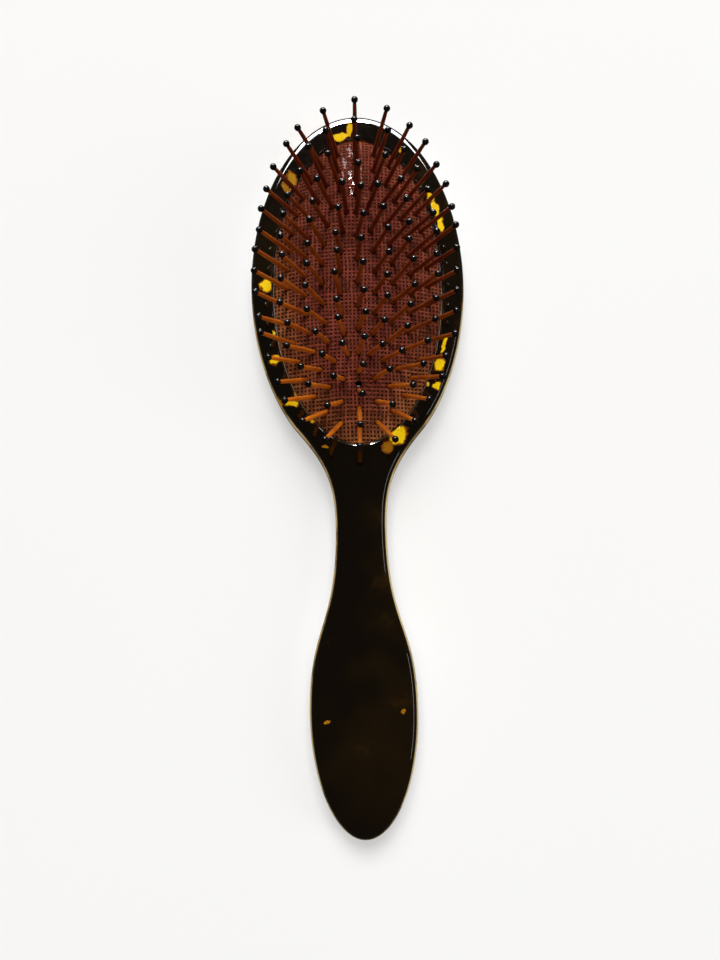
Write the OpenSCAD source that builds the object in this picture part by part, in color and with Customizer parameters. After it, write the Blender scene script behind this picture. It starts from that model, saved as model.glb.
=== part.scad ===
// Oval cushion hairbrush. A one-piece acetate body carries an air-filled rubber cushion,
// faced with woven cloth, and rows of ball-tipped nylon pins stand square to its surface.
// Origin: middle of the body's length, on the flat back. +Y to the toe, +Z to the pin tips.

/* [Body outline] */
// Width of the head at its widest
head_w = 68.6; // [66:0.2:76]
// From the widest point of the head to the toe end
toe_len = 56.8; // [55:0.2:64]
// Semi-length of the ellipse that the heel side of the head follows
heel_len = 58; // [56:0.5:62]
// From the widest point of the head to the neck
head_to_neck = 78.2; // [74:0.2:90]
// Width of the neck
neck_w = 16; // [13:0.2:20]
// From the neck to the widest point of the grip
neck_to_grip = 56.6; // [50:0.2:66]
// Width of the grip at its widest
grip_w = 33.4; // [26:0.2:38]
// From the widest point of the grip to its end
grip_end_len = 38.4; // [32:0.2:46]

/* [Body thickness] */
// Thickness of the body
body_t = 12; // [11.5:0.5:14]
// How far the rounding of the edges reaches in
edge_in = 3; // [1.5:0.25:3.5]
// How far the rounding of the edges reaches up the side
edge_up = 4; // [2:0.25:4.5]

/* [Cushion opening] */
// Width of the opening
opening_w = 54; // [52:0.5:56]
// Length of the opening
opening_len = 100; // [96:0.5:102]
// From the widest point of the head to the middle of the opening, towards the heel
opening_shift = 2.2; // [1:0.1:3]
// Solid back left under the cushion's air space
floor_t = 3; // [2:0.5:4]
// Radius of the opening's lip
lip_r = 0.8; // [0.4:0.1:1.2]
// Depth of the groove that holds the cushion's flange
groove_d = 1.6; // [1.2:0.1:2]
// Height of that groove
groove_h = 1.6; // [1.4:0.1:1.8]
// From the front face down to the groove's upper side
groove_drop = 1.4; // [1.2:0.1:1.8]

/* [Cushion] */
// Gap between the cushion and the opening's wall
cushion_gap = 0.3; // [0.2:0.05:0.5]
// Edge of the cushion's crown below the front face
crown_drop = 0.6; // [0.3:0.1:0.8]
// Rise of the crown from its edge to its crest
crown_rise = 8.2; // [7:0.1:9]
// Thickness of the rubber pad
pad_t = 1.45; // [1.2:0.05:1.8]
// Thickness of the woven cover
cover_t = 0.4; // [0.3:0.05:0.6]
// Thickness of the glue line between the pad and the cover
glue_t = 0.05; // [0.04:0.01:0.1]
// Diameter of the air vent in the crown
vent_d = 2; // [1.5:0.1:2.5]
// How far the vent lies from the middle of the opening, towards the heel
vent_shift = 32.2; // [31:0.1:33]

/* [Pins] */
// Pins in the outer row
outer_count = 36; // [24:6:42]
// Pins in the second row
second_count = 30; // [24:6:36]
// Pins in the third row
third_count = 24; // [18:6:30]
// Pins in the inner row
inner_count = 18; // [12:6:24]
// Pins in the straight centre row
centre_count = 7; // [5:1:7]
// Pitch of the centre row
centre_pitch = 7.5; // [7:0.1:7.7]
// From the crown's edge to the outer row
row_inset = 4.4; // [4.2:0.1:4.8]
// From one row to the next
row_step = 5.6; // [5.2:0.1:5.8]
// From the cushion's surface to the middle of the ball tip
pin_len = 19; // [16:0.5:22]
// Diameter of a pin at its root
pin_root_d = 1.45; // [1.3:0.05:1.6]
// Diameter of a pin inside its ball tip
pin_end_d = 1.15; // [1:0.05:1.2]
// Diameter of a ball tip
tip_d = 2.1; // [1.9:0.1:2.4]
// Diameter of the flat head that keeps a pin in the pad
pin_head_d = 3; // [2.6:0.1:3.2]
// Thickness of that head
pin_head_t = 0.8; // [0.6:0.1:1]
// Clearance around a pin in its hole
pin_clear = 0.1; // [0.08:0.02:0.16]

/* [Hidden] */
head_y = (head_to_neck + neck_to_grip + grip_end_len - toe_len) / 2;
neck_y = head_y - head_to_neck;
grip_y = neck_y - neck_to_grip;
opening_y = head_y - opening_shift;
crown_a = opening_w / 2 - cushion_gap;
crown_b = opening_len / 2 - cushion_gap;
crown_z = body_t - crown_drop;
cushion_t = cover_t + glue_t + pad_t;
groove_top = body_t - groove_drop;
row_counts = [outer_count, second_count, third_count, inner_count];
row_names = ["outer", "second", "third", "inner"];
// A node holds a run of this many neighbouring pins
pins_per_group = 6;

// Where the heel's ellipse hands over to the curve into the neck
heel_angle = 55;
// Reach of the tangents that shape the side curves
flare_start = 10.9;
flare_end = 13;
swell_start = 31.4;
swell_end = 26.9;

// Points along half an outline, by stretch
toe_steps = 16;
heel_steps = 10;
flare_steps = 12;
swell_steps = 14;
end_steps = 14;
// Points along half an oval, and levels across a rounded edge and the crown
oval_steps = 36;
edge_steps = 5;
crown_steps = 10;
// The crown's middle is closed by a flat strip of this half-width
ridge = 0.5;

acetate = [0.10, 0.055, 0.03];
rubber = [0.16, 0.05, 0.035];
cloth = [0.33, 0.12, 0.07];
nylon = [0.62, 0.27, 0.08];
enamel = [0.03, 0.03, 0.03];

group_names = [
    for (r = [0 : len(row_counts) - 1])
        for (g = [1 : row_counts[r] / pins_per_group])
            [r, g]
];

// ---- outlines ----

function bezier(p, t) =
    pow(1 - t, 3) * p[0]
    + 3 * t * pow(1 - t, 2) * p[1]
    + 3 * t * t * (1 - t) * p[2]
    + pow(t, 3) * p[3];

// Half of the body's outline, from the toe to the end of the grip: [half width, y]
heel_join = [head_w / 2 * cos(heel_angle), head_y - heel_len * sin(heel_angle)];
heel_slope = head_w / 2 * sin(heel_angle) / (heel_len * cos(heel_angle));
flare = [
    heel_join,
    heel_join - flare_start * [heel_slope, 1],
    [neck_w / 2, neck_y + flare_end],
    [neck_w / 2, neck_y]
];
swell = [
    [neck_w / 2, neck_y],
    [neck_w / 2, neck_y - swell_start],
    [grip_w / 2, grip_y + swell_end],
    [grip_w / 2, grip_y]
];
body_half = concat(
    [for (i = [0 : toe_steps - 1]) let (a = 90 * i / toe_steps)
        [head_w / 2 * sin(a), head_y + toe_len * cos(a)]],
    [for (i = [0 : heel_steps - 1]) let (a = heel_angle * i / heel_steps)
        [head_w / 2 * cos(a), head_y - heel_len * sin(a)]],
    [for (i = [0 : flare_steps - 1]) bezier(flare, i / flare_steps)],
    [for (i = [0 : swell_steps - 1]) bezier(swell, i / swell_steps)],
    [for (i = [0 : end_steps]) let (a = 90 * i / end_steps)
        [grip_w / 2 * cos(a), grip_y - grip_end_len * sin(a)]]
);

// Half of an oval about the opening's middle, from its toe end to its heel end
function oval_half(a, b) =
    [for (i = [0 : oval_steps]) let (t = 180 * i / oval_steps) [a * sin(t), opening_y + b * cos(t)]];

// A whole loop, anticlockwise from the toe, made from one half and its mirror image
function loop(half) = concat(
    [for (p = half) [-p[0], p[1]]],
    [for (i = [len(half) - 2 : -1 : 1]) half[i]]
);

// A loop moved inwards by a distance
function inset(pts, d) =
    let (n = len(pts))
    [for (i = [0 : n - 1])
        let (t = pts[(i + 1) % n] - pts[(i + n - 1) % n])
        pts[i] + d * [-t[1], t[0]] / norm(t)];

function at_height(pts, z) = [for (p = pts) [p[0], p[1], z]];

// A closed solid through a stack of mirror-symmetric loops, from the lower middle
// outwards, up and back to the upper middle
module loft(loops) {
    n = len(loops[0]);
    last = len(loops) - 1;
    sides = [
        for (k = [0 : last - 1])
            for (i = [0 : n - 1])
                let (a = k * n + i, b = k * n + (i + 1) % n)
                each [[a, a + n, b + n], [a, b + n, b]]
    ];
    lower = [for (i = [0 : n / 2 - 1]) cap_strip(i, n)];
    upper = [for (i = [0 : n / 2 - 1]) [for (v = [3 : -1 : 0]) last * n + cap_strip(i, n)[v]]];
    faces = concat(sides, [for (q = concat(lower, upper)) each triangles(q)]);
    polyhedron(points = [for (l = loops) each l], faces = faces, convexity = 6);
}

// One strip across a cap, between a point and its mirror image
function cap_strip(i, n) = [i, i + 1, (n - i - 1) % n, (n - i) % n];

// A strip as triangles, without the ones that have shrunk to a line
function triangles(q) =
    [for (t = [[q[0], q[1], q[2]], [q[0], q[2], q[3]]])
        if (t[0] != t[1] && t[1] != t[2] && t[0] != t[2]) t];

// ---- the crown ----

// Height of the crown's surface on the oval that lies a distance inside its edge
function crown_part(s) = 1 - pow(1 - min(s, crown_a) / crown_a, 2);
function crown_height(s) = crown_z + crown_rise * crown_part(s);
// Lean of a pin that stands square to the crown there
function crown_lean(s) = atan(2 * crown_rise / crown_a * (1 - min(s, crown_a) / crown_a));

function crown_loop(s, drop) =
    at_height(loop(oval_half(crown_a - s, crown_b - s)), crown_height(s) - drop);
function oval_loop(grow, z) = at_height(loop(oval_half(crown_a + grow, crown_b + grow)), z);
// Distances inside the crown's edge, from its ridge out to the edge
crown_levels = [for (k = [0 : crown_steps]) (crown_a - ridge) * (1 - k / crown_steps)];

// ---- body ----

module body() {
    outline = loop(body_half);
    lower_edge = [for (k = [0 : edge_steps]) let (a = 90 * k / edge_steps)
        at_height(inset(outline, edge_in * (1 - sin(a))), edge_up * (1 - cos(a)))];
    upper_edge = [for (k = [0 : edge_steps]) let (a = 90 * k / edge_steps)
        at_height(inset(outline, edge_in * (1 - cos(a))), body_t - edge_up * (1 - sin(a)))];
    color(acetate)
        difference() {
            loft(concat(lower_edge, upper_edge));
            recess();
        }
}

// The space that the cushion fills: air chamber, flange groove and rounded lip
module recess() {
    wall = cushion_gap;
    lip = [for (k = [0 : edge_steps]) let (a = 90 * k / edge_steps)
        oval_loop(wall + lip_r * (1 - cos(a)), body_t - lip_r * (1 - sin(a)))];
    loft(concat(
        [
            oval_loop(wall, floor_t),
            oval_loop(wall, groove_top - groove_h),
            oval_loop(wall + groove_d, groove_top - groove_h),
            oval_loop(wall + groove_d, groove_top),
            oval_loop(wall, groove_top)
        ],
        lip,
        [oval_loop(wall + lip_r, body_t + 1)]
    ));
}

// ---- cushion ----

// Rubber pad: a crowned skin, its short skirt, and the flange that sits in the groove
module cushion_pad() {
    flange_out = cushion_gap + groove_d - 0.2;
    flange_z = groove_top - groove_h;
    flange_t = groove_h - 0.2;
    skirt_t = 1.35;
    levels_in = [for (s = crown_levels) if (s > 1.5 * skirt_t) s];
    color(rubber)
        difference() {
            loft(concat(
                [for (s = levels_in) crown_loop(s, cushion_t)],
                [
                    oval_loop(-skirt_t, crown_height(skirt_t) - cushion_t),
                    oval_loop(-skirt_t, flange_z),
                    oval_loop(flange_out, flange_z),
                    oval_loop(flange_out, flange_z + flange_t),
                    oval_loop(0, flange_z + flange_t)
                ],
                [for (k = [crown_steps : -1 : 0]) crown_loop(crown_levels[k], cover_t + glue_t)]
            ));
            pin_holes();
            vent_hole();
        }
}

// Woven cover bonded to the pad
module cushion_cover() {
    color(cloth)
        difference() {
            loft(concat(
                [for (s = crown_levels) crown_loop(s, cover_t)],
                [for (k = [crown_steps : -1 : 0]) crown_loop(crown_levels[k], 0)]
            ));
            pin_holes();
            vent_hole();
        }
}

module vent_hole() {
    top = crown_height(crown_a);
    translate([0, opening_y - vent_shift, top - 6])
        cylinder(h = 8, d = vent_d, $fn = 32);
}

module pin_holes() {
    for (r = [0 : len(row_counts) - 1])
        for (k = [0 : row_counts[r] - 1])
            on_row(r, k) pin_hole();
    for (k = [0 : centre_count - 1])
        on_centre(k) pin_hole();
}

module pin_hole() {
    reach = 2 * cushion_t;
    translate([0, 0, -reach])
        cylinder(h = 1.5 * reach, d = pin_root_d + 2 * pin_clear, $fn = 40);
}

// ---- places of the pins ----

// Distance of a row inside the crown's edge
function row_in(r) = row_inset + r * row_step;
function row_point(r, t) = [(crown_a - row_in(r)) * sin(t), (crown_b - row_in(r)) * cos(t)];

// Distance walked round a row, with the angle reached: [distance, angle]
walk_step = 2;
function row_walk(r) =
    [for (
        t = 0, s = 0;
        t <= 360;
        t = t + walk_step, s = s + norm(row_point(r, t) - row_point(r, t - walk_step))
    ) [s, t]];
row_walks = [for (r = [0 : len(row_counts) - 1]) row_walk(r)];

// Angle at which the k-th pin of a row stands, all at equal steps along the row
function pin_angle(r, k) =
    let (walk = row_walks[r], whole = walk[len(walk) - 1][0])
    lookup(whole * k / row_counts[r], walk);

// Puts its children on the crown, square to it, at one pin's place
module on_row(r, k) {
    t = pin_angle(r, k);
    p = row_point(r, t);
    out_x = (crown_b - row_in(r)) * sin(t);
    out_y = (crown_a - row_in(r)) * cos(t);
    translate([p[0], opening_y + p[1], crown_height(row_in(r))])
        rotate([0, crown_lean(row_in(r)), atan2(out_y, out_x)])
            children();
}

module on_centre(k) {
    translate([0, opening_y + centre_pitch * ((centre_count - 1) / 2 - k), crown_height(crown_a)])
        children();
}

// ---- pins and tips ----

// How far a pin runs into its ball tip past the tip's middle
socket_past = 0.3;
// The end of the pin that has its final diameter
straight_end = 2;

module pin() {
    head_top = -(cushion_t + 0.1);
    translate([0, 0, head_top - pin_head_t])
        cylinder(h = pin_head_t, d = pin_head_d, $fn = 40);
    translate([0, 0, head_top])
        cylinder(h = pin_len - straight_end - head_top, d1 = pin_root_d, d2 = pin_end_d, $fn = 40);
    translate([0, 0, pin_len - straight_end])
        cylinder(h = straight_end + socket_past, d = pin_end_d, $fn = 40);
}

module tip() {
    translate([0, 0, pin_len])
        difference() {
            sphere(d = tip_d, $fn = 64);
            translate([0, 0, -tip_d])
                cylinder(h = tip_d + socket_past, d = pin_end_d, $fn = 40);
        }
}

module row_pins(r, g) {
    color(nylon)
        for (k = [0 : pins_per_group - 1])
            on_row(r, (g - 1) * pins_per_group + k) pin();
}

module row_tips(r, g) {
    color(enamel)
        for (k = [0 : pins_per_group - 1])
            on_row(r, (g - 1) * pins_per_group + k) tip();
}

module centre_pins() {
    color(nylon)
        for (k = [0 : centre_count - 1])
            on_centre(k) pin();
}

module centre_tips() {
    color(enamel)
        for (k = [0 : centre_count - 1])
            on_centre(k) tip();
}

body();
cushion_pad();
cushion_cover();
for (n = group_names) {
    row_pins(n[0], n[1]);
    row_tips(n[0], n[1]);
}
centre_pins();
centre_tips();
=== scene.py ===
# Oval cushion hairbrush, lying on its back on a pale table. Metres, in the CAD frame:
# origin in the middle of the body's flat back, +Y to the toe, +Z to the pin tips.
import math

import bmesh
import bpy
import numpy as np
from mathutils import Matrix, Vector


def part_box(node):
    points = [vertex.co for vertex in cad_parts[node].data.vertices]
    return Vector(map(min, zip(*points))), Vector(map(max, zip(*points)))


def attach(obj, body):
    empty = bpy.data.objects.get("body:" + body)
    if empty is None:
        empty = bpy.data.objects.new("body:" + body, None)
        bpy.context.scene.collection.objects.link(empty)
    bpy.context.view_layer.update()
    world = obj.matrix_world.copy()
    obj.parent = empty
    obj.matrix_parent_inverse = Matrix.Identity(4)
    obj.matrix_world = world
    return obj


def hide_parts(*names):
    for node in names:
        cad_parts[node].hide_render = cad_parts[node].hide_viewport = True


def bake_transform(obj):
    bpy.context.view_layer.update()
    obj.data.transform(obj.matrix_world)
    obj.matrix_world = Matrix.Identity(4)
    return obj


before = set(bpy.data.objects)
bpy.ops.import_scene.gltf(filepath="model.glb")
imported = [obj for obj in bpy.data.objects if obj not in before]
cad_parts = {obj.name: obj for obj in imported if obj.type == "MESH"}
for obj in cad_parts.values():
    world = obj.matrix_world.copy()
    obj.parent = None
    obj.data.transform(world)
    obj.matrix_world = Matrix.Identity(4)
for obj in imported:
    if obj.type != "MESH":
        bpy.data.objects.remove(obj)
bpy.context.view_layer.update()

MM = 0.001

# ---------------------------------------------------------------- sizes, as in the CAD model

# the body's outline, from the toe to the end of the grip, and its rounded edges
body_low, body_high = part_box("body")
HEAD_HALF = body_high.x
TOE_Y = body_high.y
END_Y = body_low.y
BODY_T = body_high.z
TOE_LEN = 56.8 * MM
HEEL_LEN = 58.0 * MM
HEAD_TO_NECK = 78.2 * MM
NECK_HALF = 8.0 * MM
GRIP_HALF = 16.7 * MM
GRIP_END_LEN = 38.4 * MM
HEEL_ANGLE = math.radians(55)
FLARE_START, FLARE_END = 10.9 * MM, 13.0 * MM
SWELL_START, SWELL_END = 31.4 * MM, 26.9 * MM
EDGE_IN, EDGE_UP = 3.0 * MM, 4.0 * MM
HEAD_Y = TOE_Y - TOE_LEN
NECK_Y = HEAD_Y - HEAD_TO_NECK
GRIP_Y = END_Y + GRIP_END_LEN

# the cushion: its opening, crown and chamber, the lip and the groove, and the sheets' thicknesses
OPENING_Y = HEAD_Y - 2.2 * MM
CUSHION_GAP = 0.3 * MM
CROWN_A = 27.0 * MM - CUSHION_GAP
CROWN_B = 50.0 * MM - CUSHION_GAP
CROWN_Z = BODY_T - 0.6 * MM
CROWN_RISE = 8.2 * MM
CHAMBER_FLOOR = 3.0 * MM
LIP_R = 0.8 * MM
GROOVE_D, GROOVE_H = 1.6 * MM, 1.6 * MM
GROOVE_TOP = BODY_T - 1.4 * MM
PAD_T, COVER_T, GLUE_T = 1.45 * MM, 0.4 * MM, 0.05 * MM
PAD_CLEAR, FLANGE_CLEAR, PAD_SKIRT = 0.25 * MM, 0.2 * MM, 1.35 * MM
RIDGE = 0.5 * MM
SWELL_CAP = 0.45 * MM
VENT = (0.0, OPENING_Y - 32.2 * MM)
VENT_R = 1.0 * MM

# the pins, their holes and their ball tips
ROWS = {"outer": 36, "second": 30, "third": 24, "inner": 18}
ROW_INSET, ROW_STEP = 4.4 * MM, 5.6 * MM
PINS_PER_GROUP = 6
CENTRE_COUNT, CENTRE_PITCH = 7, 7.5 * MM
PIN_LEN = 19.0 * MM
PIN_ROOT_R, PIN_END_R = 0.725 * MM, 0.575 * MM
PIN_HEAD_R, PIN_HEAD_T, PIN_HEAD_GAP = 1.35 * MM, 0.8 * MM, 0.3 * MM
COVER_HOLE_GAP, PAD_HOLE_GAP = 0.25 * MM, 0.5 * MM
HOLE_FROM, HOLE_TO, VENT_FROM = -4 * MM, 3 * MM, -6 * MM
TIP_R = 1.05 * MM
TIP_NECK_R = 0.66 * MM
SOCKET_DEPTH, PIN_IN_TIP = 1.0 * MM, 0.3 * MM

# looks: pitch of the weave, depth of the amber patches and how far their outlines wander
WEAVE_PITCH = 1.2 * MM
AMBER_DEPTH, AMBER_WANDER = 6 * MM, 3.4 * MM

# ---------------------------------------------------------------- mesh helpers


SHARP_ANGLE = math.radians(40)


def mesh_object(name, points, faces, material):
    """An object from points and faces, normals outwards, smooth but for its sharp edges."""
    mesh = bpy.data.meshes.new(name)
    mesh.from_pydata([tuple(p) for p in points], [], [tuple(f) for f in faces])
    mesh.validate()
    work = bmesh.new()
    work.from_mesh(mesh)
    bmesh.ops.recalc_face_normals(work, faces=work.faces)
    work.to_mesh(mesh)
    work.free()
    mesh.shade_smooth()
    mesh.set_sharp_from_angle(angle=SHARP_ANGLE)
    obj = bpy.data.objects.new(name, mesh)
    bpy.context.collection.objects.link(obj)
    if material:
        mesh.materials.append(material)
    return obj


def applied(obj):
    """The object's mesh with its modifiers applied, in place."""
    graph = bpy.context.evaluated_depsgraph_get()
    mesh = bpy.data.meshes.new_from_object(obj.evaluated_get(graph))
    obj.modifiers.clear()
    old = obj.data
    obj.data = mesh
    bpy.data.meshes.remove(old)
    return obj


def cut(obj, cutter):
    """Takes the cutter's volume out of the object and removes the cutter."""
    before = len(obj.data.vertices)
    boolean = obj.modifiers.new("cut", "BOOLEAN")
    boolean.operation = "DIFFERENCE"
    boolean.solver = "MANIFOLD"
    boolean.object = cutter
    applied(obj)
    if len(obj.data.vertices) <= before:
        raise RuntimeError(f"the cut through {obj.name} failed")
    bpy.data.objects.remove(cutter)
    return obj


def bezier(corners, steps):
    """Points of a cubic curve with four control points, without its last point."""
    t = (np.arange(steps) / steps)[:, None]
    a, b, c, d = [np.array(q) for q in corners]
    return (1 - t) ** 3 * a + 3 * t * (1 - t) ** 2 * b + 3 * t * t * (1 - t) * c + t**3 * d


def arc(steps, turn, last=False):
    """Equal steps of angle from 0 up to a turn, with or without the turn itself."""
    return np.arange(steps + (1 if last else 0)) / steps * turn


# ---------------------------------------------------------------- outlines and lofts


def body_half():
    """Half of the body's outline, from the toe to the end of the grip."""
    quarter = math.pi / 2
    toe = arc(64, quarter)
    heel = arc(36, HEEL_ANGLE)
    end = arc(48, quarter, last=True)
    join = np.array([HEAD_HALF * math.cos(HEEL_ANGLE), HEAD_Y - HEEL_LEN * math.sin(HEEL_ANGLE)])
    slope = HEAD_HALF * math.sin(HEEL_ANGLE) / (HEEL_LEN * math.cos(HEEL_ANGLE))
    flare = [
        join,
        join - FLARE_START * np.array([slope, 1]),
        (NECK_HALF, NECK_Y + FLARE_END),
        (NECK_HALF, NECK_Y),
    ]
    swell = [
        (NECK_HALF, NECK_Y),
        (NECK_HALF, NECK_Y - SWELL_START),
        (GRIP_HALF, GRIP_Y + SWELL_END),
        (GRIP_HALF, GRIP_Y),
    ]
    return np.concatenate([
        np.column_stack([HEAD_HALF * np.sin(toe), HEAD_Y + TOE_LEN * np.cos(toe)]),
        np.column_stack([HEAD_HALF * np.cos(heel), HEAD_Y - HEEL_LEN * np.sin(heel)]),
        bezier(flare, 44),
        bezier(swell, 52),
        np.column_stack([GRIP_HALF * np.cos(end), GRIP_Y - GRIP_END_LEN * np.sin(end)]),
    ])


def oval_half(a, b, steps):
    """The right half of an oval round the opening's middle, from the toe."""
    t = arc(steps, math.pi, last=True)
    return np.column_stack([a * np.sin(t), OPENING_Y + b * np.cos(t)])


def loop(half):
    """A whole loop, anticlockwise from the toe."""
    half = half.copy()
    half[0, 0] = half[-1, 0] = 0
    return np.concatenate([half * (-1, 1), half[-2:0:-1]])


def inset(points, distance):
    """An anticlockwise loop moved inwards."""
    along = np.roll(points, -1, axis=0) - np.roll(points, 1, axis=0)
    along /= np.linalg.norm(along, axis=1)[:, None]
    return points + distance * np.column_stack([-along[:, 1], along[:, 0]])


def at_height(points, z):
    """Flat points given a height, or a height each."""
    return np.column_stack([points, np.full(len(points), z)])


def loft(loops, across):
    """Points and faces of a closed solid through mirror-symmetric loops. The first and last
    loops are closed by strips from side to side, each in so many parts."""
    n = len(loops[0])
    points = [p for l in loops for p in l]
    faces = []
    for k in range(len(loops) - 1):
        for i in range(n):
            a, b = k * n + i, k * n + (i + 1) % n
            faces.append((a, b, b + n, a + n))
    for base in (0, (len(loops) - 1) * n):
        rows = []
        for i in range(n // 2 + 1):
            left, right = base + i, base + (n - i) % n
            row = [left]
            if left != right:
                for j in range(1, across):
                    u = j / across
                    points.append((1 - u) * np.array(points[left]) + u * np.array(points[right]))
                    row.append(len(points) - 1)
                row.append(right)
            rows.append(row)
        for upper, lower in zip(rows, rows[1:]):
            count = max(len(upper), len(lower)) - 1
            for j in range(count):
                quad = [
                    upper[min(j, len(upper) - 1)],
                    lower[min(j, len(lower) - 1)],
                    lower[min(j + 1, len(lower) - 1)],
                    upper[min(j + 1, len(upper) - 1)],
                ]
                faces.append(tuple(dict.fromkeys(quad)))
    return points, faces


# ---------------------------------------------------------------- the crown and the pins' places


def crown_part(s):
    """How much of the crown's rise is reached at a distance in from its rim."""
    return 1 - (1 - np.minimum(s, CROWN_A) / CROWN_A) ** 2


def crown_height(s):
    """Height of the cover's top at a distance in from the crown's rim."""
    return CROWN_Z + CROWN_RISE * crown_part(s)


def crown_lean(s):
    """Angle of the crown's normal from upright."""
    return math.atan(2 * CROWN_RISE / CROWN_A * (1 - min(s, CROWN_A) / CROWN_A))


def crown_loop(s, drop, steps):
    """An oval loop on the crown at a distance in from its rim, or some drop below the crown."""
    return at_height(loop(oval_half(CROWN_A - s, CROWN_B - s, steps)), crown_height(s) - drop)


def oval_loop(grow, z, steps):
    """A level oval loop, wider than the crown's rim by some distance."""
    return at_height(loop(oval_half(CROWN_A + grow, CROWN_B + grow, steps)), z)


def row_places(row):
    """Root and axis of each pin of an oval row, at equal steps along the row."""
    names = list(ROWS)
    s = ROW_INSET + names.index(row) * ROW_STEP
    a, b = CROWN_A - s, CROWN_B - s
    t = np.radians(np.arange(0, 361, 2))
    x, y = a * np.sin(t), b * np.cos(t)
    walked = np.concatenate([[0], np.cumsum(np.hypot(np.diff(x), np.diff(y)))])
    count = ROWS[row]
    angle = np.interp(np.arange(count) / count * walked[-1], walked, t)
    lean = crown_lean(s)
    places = []
    for t in angle:
        out = Vector((b * math.sin(t), a * math.cos(t), 0)).normalized()
        root = Vector((a * math.sin(t), OPENING_Y + b * math.cos(t), float(crown_height(s))))
        places.append((root, out * math.sin(lean) + Vector((0, 0, math.cos(lean)))))
    return places


def centre_places():
    """Root and axis of each pin of the straight centre row."""
    z = float(crown_height(CROWN_A))
    first = (CENTRE_COUNT - 1) / 2
    return [
        (Vector((0, OPENING_Y + CENTRE_PITCH * (first - k), z)), Vector((0, 0, 1)))
        for k in range(CENTRE_COUNT)
    ]


PLACES = {row: row_places(row) for row in ROWS}
PLACES["centre"] = centre_places()
ALL_PLACES = [place for row in PLACES.values() for place in row]

# Use has set the pins a little to the right, most in the middle of the pad, and each pin
# rocks a little its own way in its seat: sideways shift of the ball tip, the set in millimetres.
TIP_SET = {"outer": 0.0, "second": 0.75, "third": 1.05, "inner": 1.45, "centre": 1.5}
TIP_ROCK = 0.55 * MM


def rocked(row, places, seed):
    """The places of a row with each axis leaning as the pin's set and rock have it."""
    chance = np.random.default_rng(seed)
    out = []
    for root, axis in places:
        shift = Vector((TIP_SET[row] * MM, 0, 0)) + Vector((*chance.normal(0, TIP_ROCK, 2), 0))
        out.append((root, (axis * PIN_LEN + shift).normalized()))
    return out


LEANING = {row: rocked(row, places, seed) for seed, (row, places) in enumerate(PLACES.items(), 7)}


def revolved(profile, places, segments):
    """Points and faces of one turned solid, repeated at each place. profile is (radius, height)
    from one end of the axis to the other, and starts and ends on the axis."""
    points, faces = [], []
    turn = [2 * math.pi * k / segments for k in range(segments)]
    for root, axis in places:
        to_axis = Vector((0, 0, 1)).rotation_difference(axis).to_matrix()
        rings = []
        for radius, height in profile:
            if radius == 0:
                rings.append([len(points)])
                points.append(root + to_axis @ Vector((0, 0, height)))
                continue
            rings.append(list(range(len(points), len(points) + segments)))
            for a in turn:
                out = Vector((radius * math.cos(a), radius * math.sin(a), height))
                points.append(root + to_axis @ out)
        for lower, upper in zip(rings, rings[1:]):
            for i in range(segments):
                j = (i + 1) % segments
                below = (lower[i % len(lower)], lower[j % len(lower)])
                above = (upper[j % len(upper)], upper[i % len(upper)])
                faces.append(tuple(dict.fromkeys(below + above)))
    return points, faces


# ---------------------------------------------------------------- materials


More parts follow.
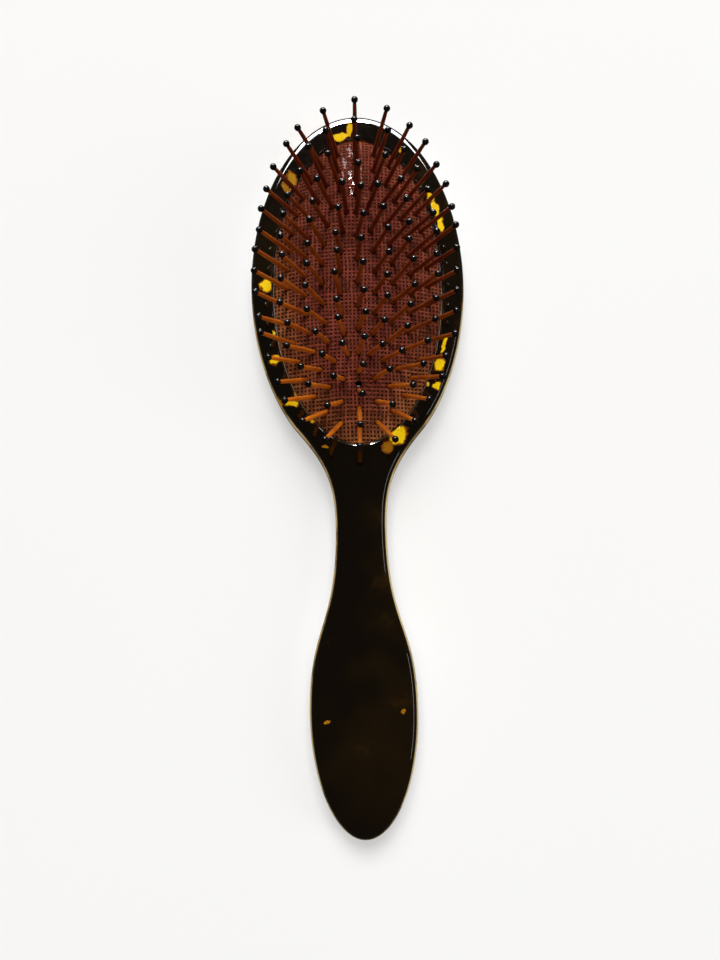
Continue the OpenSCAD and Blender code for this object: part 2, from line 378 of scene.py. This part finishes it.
class Nodes:
    """A material's node tree, with short ways to add nodes."""

    def __init__(self, name):
        self.material = bpy.data.materials.new(name)
        self.material.use_nodes = True
        self.tree = self.material.node_tree
        self.tree.nodes.clear()
        self.out = self.tree.nodes.new("ShaderNodeOutputMaterial")
        self.shader = self.tree.nodes.new("ShaderNodeBsdfPrincipled")
        self.link(self.shader.outputs[0], self.out.inputs[0])
        self.place = self.tree.nodes.new("ShaderNodeTexCoord").outputs["Object"]
        self.normal = self.tree.nodes.new("ShaderNodeNewGeometry").outputs["Normal"]

    def link(self, source, target):
        self.tree.links.new(source, target)

    def put(self, socket, value):
        if isinstance(value, bpy.types.NodeSocket):
            self.link(value, socket)
        else:
            socket.default_value = value

    def set(self, **values):
        for name, value in values.items():
            self.put(self.shader.inputs[name.replace("_", " ")], value)

    def math(self, operation, a, b=0.0, c=0.0):
        node = self.tree.nodes.new("ShaderNodeMath")
        node.operation = operation
        for socket, value in zip(node.inputs, (a, b, c)):
            self.put(socket, value)
        return node.outputs[0]

    def vector(self, operation, a, b=(0, 0, 0)):
        node = self.tree.nodes.new("ShaderNodeVectorMath")
        node.operation = operation
        self.put(node.inputs[0], a)
        self.put(node.inputs[1], b)
        return node.outputs[0]

    def length(self, a):
        node = self.tree.nodes.new("ShaderNodeVectorMath")
        node.operation = "LENGTH"
        self.put(node.inputs[0], a)
        return node.outputs["Value"]

    def split(self, a):
        node = self.tree.nodes.new("ShaderNodeSeparateXYZ")
        self.put(node.inputs[0], a)
        return node.outputs

    def noise(self, scale, detail=2.0, roughness=0.5, place=None):
        node = self.tree.nodes.new("ShaderNodeTexNoise")
        self.put(node.inputs["Vector"], place or self.place)
        node.inputs["Scale"].default_value = scale
        node.inputs["Detail"].default_value = detail
        node.inputs["Roughness"].default_value = roughness
        return node.outputs

    def ramp(self, value, low, high, to_low=0.0, to_high=1.0):
        """A smooth change from one value to another as the input goes from low to high."""
        node = self.tree.nodes.new("ShaderNodeMapRange")
        node.interpolation_type = "SMOOTHSTEP"
        for socket, v in zip(node.inputs, (value, low, high, to_low, to_high)):
            self.put(socket, v)
        return node.outputs[0]

    def mix(self, factor, a, b):
        node = self.tree.nodes.new("ShaderNodeMix")
        node.data_type = "RGBA"
        self.put(node.inputs[0], factor)
        self.put(node.inputs[6], a if isinstance(a, bpy.types.NodeSocket) else (*a, 1))
        self.put(node.inputs[7], b if isinstance(b, bpy.types.NodeSocket) else (*b, 1))
        return node.outputs[2]

    def mapped(self, place, location, turn, size):
        """A place in the axes of an oval of a size at a location: length 1 on its edge."""
        node = self.tree.nodes.new("ShaderNodeMapping")
        node.vector_type = "TEXTURE"
        self.put(node.inputs["Vector"], place)
        node.inputs["Location"].default_value = location
        node.inputs["Rotation"].default_value = (0, 0, turn)
        node.inputs["Scale"].default_value = size
        return node.outputs[0]

    def bump(self, height, distance, strength=1.0):
        node = self.tree.nodes.new("ShaderNodeBump")
        node.inputs["Strength"].default_value = strength
        node.inputs["Distance"].default_value = distance
        self.link(height, node.inputs["Height"])
        return node.outputs[0]


# Clear amber patches in the dark acetate: middle x, y, half length, half width, turn, in
# millimetres and degrees, and how much of the amber is yellow.
AMBER = [
    (-5.0, 107.2, 3.6, 1.1, 14, 0.75),
    (-1.6, 109.6, 1.0, 2.2, 0, 0.6),
    (14.8, 102.2, 1.4, 0.8, -30, 0.35),
    (-20.6, 93.2, 1.7, 2.4, 35, 0.22),
    (-22.6, 89.8, 1.0, 1.8, 30, 0.12),
    (24.0, 86.6, 0.9, 1.8, 30, 0.7),
    (25.4, 82.4, 1.1, 3.0, 20, 0.85),
    (26.9, 77.4, 1.1, 3.2, 8, 0.95),
    (-29.2, 57.4, 1.7, 2.4, 0, 1.0),
    (-26.9, 41.8, 0.5, 1.4, 0, 0.8),
    (-26.6, 33.2, 1.9, 1.4, 10, 1.0),
    (27.3, 37.4, 0.8, 2.8, -22, 0.95),
    (25.6, 31.0, 1.5, 2.4, -20, 1.0),
    (24.4, 24.2, 1.2, 1.4, 0, 0.9),
    (21.8, 24.6, 0.6, 0.9, 0, 0.8),
    (26.4, 18.6, 1.0, 2.8, -25, 0.3),
    (-21.3, 19.2, 2.4, 1.2, -18, 0.8),
    (-19.8, 22.0, 0.6, 2.0, 10, 0.45),
    (-25.4, 19.4, 0.8, 2.4, 25, 0.25),
    (-14.4, 13.6, 1.0, 0.9, 0, 0.45),
    (12.2, 8.6, 2.6, 3.0, -30, 0.95),
    (8.8, 4.8, 1.9, 2.0, -30, 0.10),
    (-11.0, 5.6, 0.6, 0.5, 0, 0.15),
    (-11.3, -79.3, 0.8, 0.6, 0, 0.15),
    (12.1, -76.7, 0.7, 0.7, 0, 0.1),
]


def amber_parts(m):
    """How much of the acetate is amber at each place, and how much of the amber is yellow."""
    wander = m.vector("SUBTRACT", m.noise(330, 3, 0.65)["Color"], (0.5, 0.5, 0.5))
    wander = m.vector("MULTIPLY", wander, (AMBER_WANDER, AMBER_WANDER, AMBER_WANDER))
    place = m.vector("ADD", m.place, wander)
    amber, yellow = 0.0, 0.0
    for x, y, length, width, turn, bright in AMBER:
        at = (x * MM, y * MM, BODY_T)
        size = (length * MM, width * MM, AMBER_DEPTH)
        far = m.length(m.mapped(place, at, math.radians(turn), size))
        amber = m.math("MAXIMUM", m.ramp(far, 1.2, 1.0), amber)
        yellow = m.math("MAXIMUM", m.math("MULTIPLY", m.ramp(far, 1.02, 0.75), bright), yellow)
    return amber, yellow


def painted_glow_edge(m, nz, clouds):
    """How much of the rounded upper edge, from the middle of the head to the end of the grip, is
    painted pale, in clouds: partly the clearer acetate of the edge, partly painted light coming
    through it.
    """
    y, z = m.split(m.place)[1:]
    steep = m.ramp(m.math("ABSOLUTE", nz), 0.55, 0.30)
    upper = m.math("MULTIPLY", steep, m.ramp(z, BODY_T - 5.0 * MM, BODY_T - 3.4 * MM))
    heelward = m.ramp(y, HEAD_Y + 2 * MM, HEAD_Y - 14 * MM)
    cloudy = m.math("MULTIPLY", heelward, m.ramp(clouds, 0.36, 0.52, 0.35, 1.0))
    return m.math("MULTIPLY", upper, cloudy)


def acetate():
    """Nearly black tortoiseshell acetate, polished, with amber patches, and a painted glow of light
    coming through the patches and the upper edge.
    """
    m = Nodes("tortoiseshell_acetate")
    amber, yellow = amber_parts(m)
    clouds = m.noise(75, 4, 0.6)["Fac"]
    deep = m.noise(38, 2, 0.5)["Fac"]
    fine = m.noise(800, 2, 0.5)["Fac"]
    nz = m.split(m.normal)[2]
    dark = m.mix(m.ramp(deep, 0.45, 0.75), (0.0030, 0.0014, 0.0002), (0.0085, 0.0042, 0.0004))
    dark = m.mix(m.ramp(clouds, 0.60, 0.80), dark, (0.022, 0.009, 0.001))
    honey = m.mix(yellow, (0.22, 0.055, 0.004), (0.92, 0.62, 0.007))
    honey = m.mix(m.ramp(fine, 0.40, 0.80, 0.0, 0.35), honey, (0.55, 0.24, 0.006))
    colour = m.mix(amber, dark, honey)
    # a few more amber patches on the sides and the back
    patches = m.ramp(m.noise(60, 3, 0.55)["Fac"], 0.60, 0.63)
    patches = m.math("MULTIPLY", patches, m.ramp(nz, 0.5, 0.2))
    brown = m.mix(m.ramp(fine, 0.4, 0.6), (0.20, 0.055, 0.004), (0.48, 0.20, 0.008))
    colour = m.mix(patches, colour, brown)
    # painted light: the steep upper edge from the middle of the head to the grip is painted pale
    # cream, standing in for light coming through the clear acetate
    painted_light_edge = painted_glow_edge(m, nz, clouds)
    painted_glow_colour = m.mix(m.ramp(deep, 0.40, 0.62), (0.55, 0.28, 0.040), (0.95, 0.76, 0.34))
    colour = m.mix(painted_light_edge, colour, painted_glow_colour)
    rough = m.ramp(m.noise(420, 3, 0.6)["Fac"], 0.3, 0.7, 0.04, 0.08)
    height = m.math("ADD", m.noise(45, 1)["Fac"], m.math("MULTIPLY", m.noise(1500, 2)["Fac"], 0.008))
    m.set(Base_Color=colour, Roughness=rough, Normal=m.bump(height, 0.2 * MM, 0.3))
    m.set(IOR=1.55, Coat_Weight=0.9, Coat_Roughness=0.03, Coat_IOR=1.5)
    # painted glow: the yellow patches and the pale edge are given a faint emission that stands in for
    # light coming through the acetate
    painted_glow = m.mix(yellow, m.mix(painted_light_edge, (0, 0, 0), (1.0, 0.80, 0.42)), (0.85, 0.58, 0.0))
    m.set(Emission_Color=painted_glow, Emission_Strength=0.22)
    return m.material


def woven_cover():
    """An open plain weave under a thin clear skin."""
    m = Nodes("woven_cover")
    x, y, z = m.split(m.place)
    # the threads wander a little; one thread, and the hole beside it, to each half wave
    drift = m.split(m.vector("SUBTRACT", m.noise(110, 2)["Color"], (0.5, 0.5, 0.5)))
    u = m.math("MULTIPLY_ADD", drift[0], WEAVE_PITCH, x)
    v = m.math("MULTIPLY_ADD", drift[1], WEAVE_PITCH, y)
    u = m.math("SINE", m.math("MULTIPLY", u, math.pi / WEAVE_PITCH))
    v = m.math("SINE", m.math("MULTIPLY", v, math.pi / WEAVE_PITCH))
    over = m.ramp(m.math("MULTIPLY", u, v), -0.15, 0.15)
    warp = m.ramp(m.math("ABSOLUTE", u), 0.60, 0.95)
    weft = m.ramp(m.math("ABSOLUTE", v), 0.60, 0.95)
    warp = m.math("MULTIPLY", warp, m.math("MULTIPLY_ADD", over, 0.4, 0.6))
    weft = m.math("MULTIPLY", weft, m.math("MULTIPLY_ADD", over, -0.4, 1.0))
    height = m.math("MAXIMUM", warp, weft)
    patch = m.noise(60, 3, 0.6)["Fac"]
    # painted light: on the low slopes towards the heel and the left the threads are painted lighter
    # tan and their gaps darker, while towards the toe they stay darker
    painted_light_slopes = m.ramp(z, CROWN_Z + 7.0 * MM, CROWN_Z + 0.5 * MM)
    side = m.math("ADD", m.math("MULTIPLY", x, -0.8), m.math("MULTIPLY_ADD", y, -1.0, OPENING_Y))
    painted_light_slopes = m.math("MULTIPLY", painted_light_slopes, m.ramp(side, -12 * MM, 30 * MM, 0.15, 1.0))
    middle = m.mix(m.ramp(patch, 0.3, 0.7), (0.17, 0.030, 0.020), (0.26, 0.052, 0.034))
    # painted light: the lighter tan of the threads on the low heel and left slopes
    painted_light_edge = m.mix(m.ramp(patch, 0.3, 0.7), (0.30, 0.080, 0.026), (0.48, 0.160, 0.056))
    thread = m.mix(painted_light_slopes, middle, painted_light_edge)
    gap = m.mix(painted_light_slopes, (0.016, 0.0022, 0.0012), (0.010, 0.002, 0.0008))
    # single threads are lighter or darker along their length
    along_y = m.noise(560, 2, 0.6, m.vector("MULTIPLY", m.place, (1, 0.12, 0.2)))["Fac"]
    along_x = m.noise(560, 2, 0.6, m.vector("MULTIPLY", m.place, (0.12, 1, 0.2)))["Fac"]
    which = m.ramp(m.math("SUBTRACT", warp, weft), -0.2, 0.2)
    tone = m.ramp(m.mix(which, along_x, along_y), 0.35, 0.62)
    thread = m.mix(tone, m.mix(0.65, thread, gap), thread)
    colour = m.mix(m.ramp(height, 0.10, 0.60), gap, thread)
    fibre = m.noise(3200, 2, 0.6)["Fac"]
    colour = m.mix(m.ramp(fibre, 0.48, 0.75, 0.0, 0.4), colour, (0.38, 0.16, 0.08))
    rough = m.ramp(patch, 0.3, 0.7, 0.45, 0.60)
    m.set(Base_Color=colour, Roughness=rough, Normal=m.bump(height, 0.12 * MM, 1.0))
    # the clear skin is thick enough to glint near the toe and the heel
    near_toe = m.length(m.mapped(m.place, (-1.5 * MM, 92 * MM, BODY_T), 0, (5 * MM, 15 * MM, 1)))
    near_heel = m.length(m.mapped(m.place, (6 * MM, 16 * MM, BODY_T), 0, (7 * MM, 9 * MM, 1)))
    wet = m.ramp(m.math("MINIMUM", near_toe, near_heel), 1.1, 0.4, 0.02, 1.0)
    streaks = m.noise(900, 2, 0.6, m.vector("MULTIPLY", m.place, (1, 0.45, 1)))["Fac"]
    shine = m.math("MULTIPLY", m.ramp(streaks, 0.58, 0.64, 0.0, 0.32), wet)
    m.set(Specular_IOR_Level=0.0, Coat_Weight=shine, Coat_Roughness=0.12)
    m.set(Coat_Normal=m.bump(m.math("ADD", height, m.noise(500, 2)["Fac"]), 0.05 * MM, 0.4))
    return m.material


def pad_rubber():
    """Dark, dull rubber, slightly blotched."""
    m = Nodes("pad_rubber")
    blotch = m.noise(180, 3, 0.6)["Fac"]
    colour = m.mix(m.ramp(blotch, 0.3, 0.7), (0.030, 0.008, 0.005), (0.055, 0.016, 0.010))
    rough = m.ramp(m.noise(700, 2)["Fac"], 0.3, 0.7, 0.45, 0.62)
    m.set(Base_Color=colour, Roughness=rough, Normal=m.bump(m.noise(2500, 2)["Fac"], 0.03 * MM, 0.5))
    return m.material


def pin_nylon():
    """Red-brown nylon with a satin surface."""
    m = Nodes("pin_nylon")
    x, y = m.split(m.place)[:2]
    streak = m.noise(120, 2, 0.5)["Fac"]
    # painted light: the pins are painted lighter amber towards the heel and the left, whose upper
    # sides face the lights, and darker red-brown, painted shade, towards the toe and the right
    heelward = m.math("ADD", m.math("MULTIPLY", y, -1.0), m.math("MULTIPLY", x, -0.7))
    clear = m.ramp(heelward, -82 * MM, 0.0)
    shaded_nylon = m.mix(m.ramp(streak, 0.3, 0.7), (0.11, 0.013, 0.003), (0.17, 0.026, 0.004))
    bright = m.mix(m.ramp(streak, 0.3, 0.7), (0.46, 0.105, 0.005), (0.66, 0.175, 0.008))
    rough = m.ramp(m.noise(1300, 2)["Fac"], 0.3, 0.7, 0.40, 0.50)
    m.set(Base_Color=m.mix(clear, shaded_nylon, bright), Roughness=rough)
    m.set(Normal=m.bump(m.noise(900, 2)["Fac"], 0.02 * MM, 0.15), Specular_IOR_Level=0.08)
    return m.material


def tip_enamel():
    """Glossy black enamel."""
    m = Nodes("tip_enamel")
    speck = m.noise(900, 2)["Fac"]
    colour = m.mix(m.ramp(speck, 0.4, 0.7), (0.004, 0.0035, 0.0035), (0.010, 0.008, 0.007))
    rough = m.ramp(m.noise(1500, 2)["Fac"], 0.3, 0.7, 0.07, 0.12)
    m.set(Base_Color=colour, Roughness=rough, Normal=m.bump(m.noise(1800, 1)["Fac"], 0.01 * MM, 0.3))
    m.set(Specular_IOR_Level=0.08)
    return m.material


def table_top():
    """A dull, nearly white table, bright enough to look white in its own light."""
    m = Nodes("table_top")
    mottle = m.noise(6, 2)["Fac"]
    colour = m.mix(m.ramp(mottle, 0.3, 0.7), (0.463, 0.461, 0.456), (0.467, 0.465, 0.460))
    m.set(Base_Color=colour, Roughness=0.9, Specular_IOR_Level=0.0)
    m.set(Emission_Color=(1.0, 0.992, 0.976, 1.0), Emission_Strength=0.45)
    return m.material


def backdrop_paper():
    """A pale wall that shines by itself and takes no light."""
    m = Nodes("backdrop_paper")
    tone = m.ramp(m.noise(0.6, 2)["Fac"], 0.3, 0.7)
    m.set(Base_Color=(0, 0, 0, 1), Roughness=1.0, Specular_IOR_Level=0.0)
    m.set(Emission_Color=m.mix(tone, (0.92, 0.915, 0.90), (0.94, 0.935, 0.92)), Emission_Strength=1.0)
    return m.material


# ---------------------------------------------------------------- pieces


def build_body(material):
    """The body: its outline with rounded edges, and the recess for the cushion."""
    outline = loop(body_half())
    quarter = arc(12, math.pi / 2, last=True)
    lower = [
        at_height(inset(outline, EDGE_IN * (1 - math.sin(a))), EDGE_UP * (1 - math.cos(a)))
        for a in quarter
    ]
    upper = [
        at_height(inset(outline, EDGE_IN * (1 - math.cos(a))), BODY_T - EDGE_UP * (1 - math.sin(a)))
        for a in quarter
    ]
    body = mesh_object("brush_body", *loft(lower + upper, across=16), material)
    return cut(body, build_recess())


def build_recess():
    """The space cut into the head for the cushion: chamber, flange groove and rounded lip."""
    steps = 120
    levels = [
        (CUSHION_GAP, CHAMBER_FLOOR),
        (CUSHION_GAP, GROOVE_TOP - GROOVE_H),
        (CUSHION_GAP + GROOVE_D, GROOVE_TOP - GROOVE_H),
        (CUSHION_GAP + GROOVE_D, GROOVE_TOP),
        (CUSHION_GAP, GROOVE_TOP),
    ]
    levels += [
        (CUSHION_GAP + LIP_R * (1 - math.cos(a)), BODY_T - LIP_R * (1 - math.sin(a)))
        for a in arc(8, math.pi / 2, last=True)
    ]
    levels.append((CUSHION_GAP + LIP_R, BODY_T + 1 * MM))
    return mesh_object("recess", *loft([oval_loop(g, z, steps) for g, z in levels], across=4), None)


def build_pad(material):
    """The rubber pad: a crowned skin with a skirt at its rim and a flange in the body's groove."""
    steps, rings = 90, 16
    under = COVER_T + GLUE_T + PAD_T
    flange_low = GROOVE_TOP - GROOVE_H
    flange_high = GROOVE_TOP - FLANGE_CLEAR
    flange_out = CUSHION_GAP + GROOVE_D - FLANGE_CLEAR
    levels = [(CROWN_A - RIDGE) * (1 - k / rings) for k in range(rings + 1)]
    inner = [crown_loop(s, under, steps) for s in levels if s > 1.5 * PAD_SKIRT]
    sides = [
        oval_loop(-PAD_SKIRT, crown_height(PAD_SKIRT) - under, steps),
        oval_loop(-PAD_SKIRT, flange_low, steps),
        oval_loop(flange_out, flange_low, steps),
        oval_loop(flange_out, flange_high, steps),
        oval_loop(0, flange_high, steps),
    ]
    outer = [crown_loop(s, COVER_T + PAD_CLEAR, steps) for s in reversed(levels)]
    pad = mesh_object("rubber_pad", *loft(inner + sides + outer, across=2), material)
    return cut(pad, hole_cutter(PAD_HOLE_GAP))


def hole_cutter(clearance):
    """The pin holes and the air vent, as one set of round cutters."""
    radius = PIN_ROOT_R + clearance
    hole = [(0, HOLE_FROM), (radius, HOLE_FROM), (radius, HOLE_TO), (0, HOLE_TO)]
    points, faces = revolved(hole, ALL_PLACES, 20)
    vent = [(0, VENT_FROM), (VENT_R, VENT_FROM), (VENT_R, HOLE_TO), (0, HOLE_TO)]
    vent_place = (Vector((*VENT, float(crown_height(CROWN_A)))), Vector((0, 0, 1)))
    vent_points, vent_faces = revolved(vent, [vent_place], 24)
    base = len(points)
    faces += [tuple(base + i for i in f) for f in vent_faces]
    return mesh_object("holes", points + vent_points, faces, None)


def build_cover(material):
    """The woven cover: cloth held at the rim and round every pin, with air pressure under it, so
    that it swells between the pins, and then given its thickness."""
    steps, rings = 150, 44
    levels = [(CROWN_A - RIDGE) * (1 - k / rings) for k in range(rings + 1)]
    loops = [crown_loop(s, 0, steps) for s in reversed(levels)]
    points, faces = loft(loops, across=2)
    # only the upper sheet: the strips that close the wide lower loop are left out
    n = len(loops[0])
    middle = range(len(loops) * n, len(loops) * n + n // 2 - 1)
    faces = [f for f in faces if not all(i < n or i in middle for i in f)]
    sheet = mesh_object("woven_cover", points, faces, material)
    loose = bmesh.new()
    loose.from_mesh(sheet.data)
    bmesh.ops.delete(loose, geom=[v for v in loose.verts if not v.link_faces], context="VERTS")
    loose.to_mesh(sheet.data)
    loose.free()
    swell(sheet)
    skin = sheet.modifiers.new("skin", "SOLIDIFY")
    skin.thickness = COVER_T
    skin.offset = -1
    applied(sheet)
    return cut(sheet, hole_cutter(COVER_HOLE_GAP))


def swell(sheet):
    """Inflates the sheet between its held points by cloth simulation, at 20 times real size. It
    is held within a distance of each pin's root and over a share of the way in from the rim."""
    big, frames = 20.0, 16
    round_pins, round_rim = 1.0 * MM, 0.02
    mesh = sheet.data
    at_rest = np.array([v.co for v in mesh.vertices])
    roots = np.array([place[0] for place in ALL_PLACES])
    near = np.array([np.linalg.norm(roots - p, axis=1).min() for p in at_rest])
    inside = 1 - np.hypot(at_rest[:, 0] / CROWN_A, (at_rest[:, 1] - OPENING_Y) / CROWN_B)
    held = (near < round_pins) | (inside < round_rim)
    work = bpy.data.objects.new("swelling", mesh.copy())
    bpy.context.collection.objects.link(work)
    work.data.transform(Matrix.Scale(big, 4))
    group = work.vertex_groups.new(name="held")
    for i in np.nonzero(held)[0]:
        group.add([int(i)], 1.0, "REPLACE")
    cloth = work.modifiers.new("cloth", "CLOTH")
    cloth.settings.quality = 4
    cloth.settings.mass = 0.2
    cloth.settings.tension_stiffness = 12
    cloth.settings.compression_stiffness = 12
    cloth.settings.bending_stiffness = 0.4
    cloth.settings.vertex_group_mass = "held"
    cloth.settings.use_pressure = True
    cloth.settings.uniform_pressure_force = 24
    cloth.settings.effector_weights.gravity = 0
    cloth.collision_settings.use_collision = False
    cloth.point_cache.frame_start = 1
    cloth.point_cache.frame_end = frames
    scene = bpy.context.scene
    for f in range(1, frames + 1):
        scene.frame_set(f)
    graph = bpy.context.evaluated_depsgraph_get()
    blown = work.evaluated_get(graph).to_mesh()
    after = np.array([v.co for v in blown.vertices]) / big
    move = after - at_rest
    size = np.linalg.norm(move, axis=1)
    move *= np.minimum(1, SWELL_CAP / np.maximum(size, 1e-9))[:, None]
    print(f"cover swells by up to {size.max() / MM:.3f} mm, mean {size.mean() / MM:.3f} mm")
    mesh.vertices.foreach_set("co", (at_rest + move).astype(np.float32).ravel())
    mesh.update()
    scene.frame_set(1)
    bpy.data.objects.remove(work)


def pin_profile():
    """A pin from its flat rear head to the end that sits in the ball tip."""
    top = -(COVER_T + GLUE_T + PAD_T + PIN_HEAD_GAP)
    low = top - PIN_HEAD_T
    soft = 0.2 * MM
    corner = 0.3 * soft
    return [
        (0, low),
        (PIN_HEAD_R - soft, low),
        (PIN_HEAD_R - corner, low + corner),
        (PIN_HEAD_R, low + soft),
        (PIN_HEAD_R, top - soft),
        (PIN_HEAD_R - corner, top - corner),
        (PIN_HEAD_R - soft, top),
        (PIN_ROOT_R + soft, top),
        (PIN_ROOT_R, top + soft),
        (PIN_ROOT_R, 0),
        (PIN_ROOT_R * 0.97, PIN_LEN * 0.25),
        (PIN_ROOT_R * 0.93, PIN_LEN * 0.5),
        (PIN_ROOT_R * 0.88, PIN_LEN * 0.75),
        (PIN_END_R, PIN_LEN - 1.2 * MM),
        (PIN_END_R, PIN_LEN + PIN_IN_TIP),
        (0, PIN_LEN + PIN_IN_TIP),
    ]


def tip_profile():
    """A ball with a short neck where it runs onto the pin, and the pin's socket inside."""
    start = math.asin(TIP_NECK_R / TIP_R)
    turn = start + arc(15, math.pi - start)
    ball = [(TIP_R * math.sin(a), PIN_LEN - TIP_R * math.cos(a)) for a in turn]
    fit = 0.01 * MM
    socket_r, socket_end = PIN_END_R + fit, PIN_LEN + PIN_IN_TIP + fit
    socket = [(0, socket_end), (socket_r, socket_end), (socket_r, PIN_LEN - SOCKET_DEPTH)]
    return socket + ball + [(0, PIN_LEN + TIP_R)]


def build_pins(pin_material, tip_material):
    """The pins and the ball tips, one piece for each CAD node."""
    for row, places in LEANING.items():
        whole = row == "centre"
        for g in range(1 if whole else len(places) // PINS_PER_GROUP):
            some = places if whole else places[g * PINS_PER_GROUP:(g + 1) * PINS_PER_GROUP]
            end = "" if whole else f"_{g + 1}"
            for kind, profile, material, count, slot in (
                ("pins", pin_profile(), pin_material, 16, "pin"),
                ("tips", tip_profile(), tip_material, 24, "ball_tip"),
            ):
                node = f"{row}_{kind}{end}"
                piece = mesh_object(f"turned_{node}", *revolved(profile, some, count), material)
                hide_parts(node)
                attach(piece, f"{row}_row")


# ---------------------------------------------------------------- camera, table and lights


def aim(obj, target, roll):
    """Points an object's -Z axis at a target, and rolls it about that axis."""
    back = obj.location - Vector(target)
    obj.rotation_mode = "QUATERNION"
    obj.rotation_quaternion = back.to_track_quat("Z", "Y")
    obj.rotation_quaternion.rotate(Matrix.Rotation(roll, 4, back.normalized()).to_quaternion())


def set_camera():
    """The camera, almost straight above the brush and tilted a little towards the grip."""
    data = bpy.data.cameras.new("camera")
    data.lens = 37.68
    data.sensor_width = 36
    data.clip_start = 0.01
    data.clip_end = 20
    camera = bpy.data.objects.new("camera", data)
    bpy.context.collection.objects.link(camera)
    target = Vector((-0.15 * MM, -4.75 * MM, 6 * MM))
    height = math.radians(83.3)
    camera.location = target + 320 * MM * Vector((0, -math.cos(height), math.sin(height)))
    aim(camera, target, math.radians(-0.9))
    bpy.context.scene.camera = camera


def softbox(name, azimuth, height, distance, width, tall, power):
    """A soft area light that faces the brush. Azimuth 0 is towards the toe and 90 to the right,
    and height is the angle above the table."""
    data = bpy.data.lights.new(name, "AREA")
    data.shape = "RECTANGLE"
    data.size = width
    data.size_y = tall
    data.energy = power
    lamp = bpy.data.objects.new(name, data)
    bpy.context.collection.objects.link(lamp)
    a, h = math.radians(azimuth), math.radians(height)
    towards = Vector((math.sin(a) * math.cos(h), math.cos(a) * math.cos(h), math.sin(h)))
    lamp.location = distance * towards
    lamp.rotation_mode = "QUATERNION"
    lamp.rotation_quaternion = Vector(lamp.location).to_track_quat("Z", "Y")
    return lamp


def set_stage():
    """The table, the backdrop, the lights and the world."""
    table_size, wall_radius, wall_height = 12, 5.5, 12
    bpy.ops.mesh.primitive_plane_add(size=table_size, location=(0, 0, -0.05 * MM))
    table = bpy.context.object
    table.name = "table"
    table.data.materials.append(table_top())
    table.visible_glossy = False
    # a pale wall all round, which neither lights nor shades the brush
    bpy.ops.mesh.primitive_cylinder_add(
        vertices=96, radius=wall_radius, depth=wall_height, end_fill_type="NOTHING"
    )
    wall = bpy.context.object
    wall.name = "backdrop"
    wall.data.materials.append(backdrop_paper())
    wall.visible_diffuse = wall.visible_glossy = wall.visible_shadow = False
    # soft boxes that light the brush, and cards that show in its gloss alone
    for name, azimuth, height, distance, width, tall, power in (
        ("key", -2, 57, 4.0, 2.0, 2.0, 165),
        ("fill_right", 100, 30, 2.6, 1.2, 1.6, 18),
        ("fill_heel", 185, 50, 3.0, 1.6, 1.6, 14),
    ):
        softbox(name, azimuth, height, distance, width, tall, power).visible_glossy = False
    for name, azimuth, height, distance, width, tall, power in (
        ("gleam_toe", -2, 20, 1.6, 1.9, 1.55, 150),
        ("gleam_core", -4, 42, 1.5, 0.34, 0.34, 150),
        ("gleam_right", 98, 15, 1.2, 0.6, 0.06, 0.45),
    ):
        softbox(name, azimuth, height, distance, width, tall, power).visible_diffuse = False
    world = bpy.data.worlds.new("studio")
    world.use_nodes = True
    world.node_tree.nodes["Background"].inputs[0].default_value = (1, 0.92, 0.8, 1)
    world.node_tree.nodes["Background"].inputs[1].default_value = 0.03
    bpy.context.scene.world = world
    bpy.context.scene.view_settings.view_transform = "Standard"


# ---------------------------------------------------------------- assembly

set_camera()
set_stage()

body = build_body(acetate())
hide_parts("body")
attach(body, "handle")

pad = build_pad(pad_rubber())
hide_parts("cushion_pad")
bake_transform(pad)

cover = build_cover(woven_cover())
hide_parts("cushion_cover")
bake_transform(cover)

build_pins(pin_nylon(), tip_enamel())
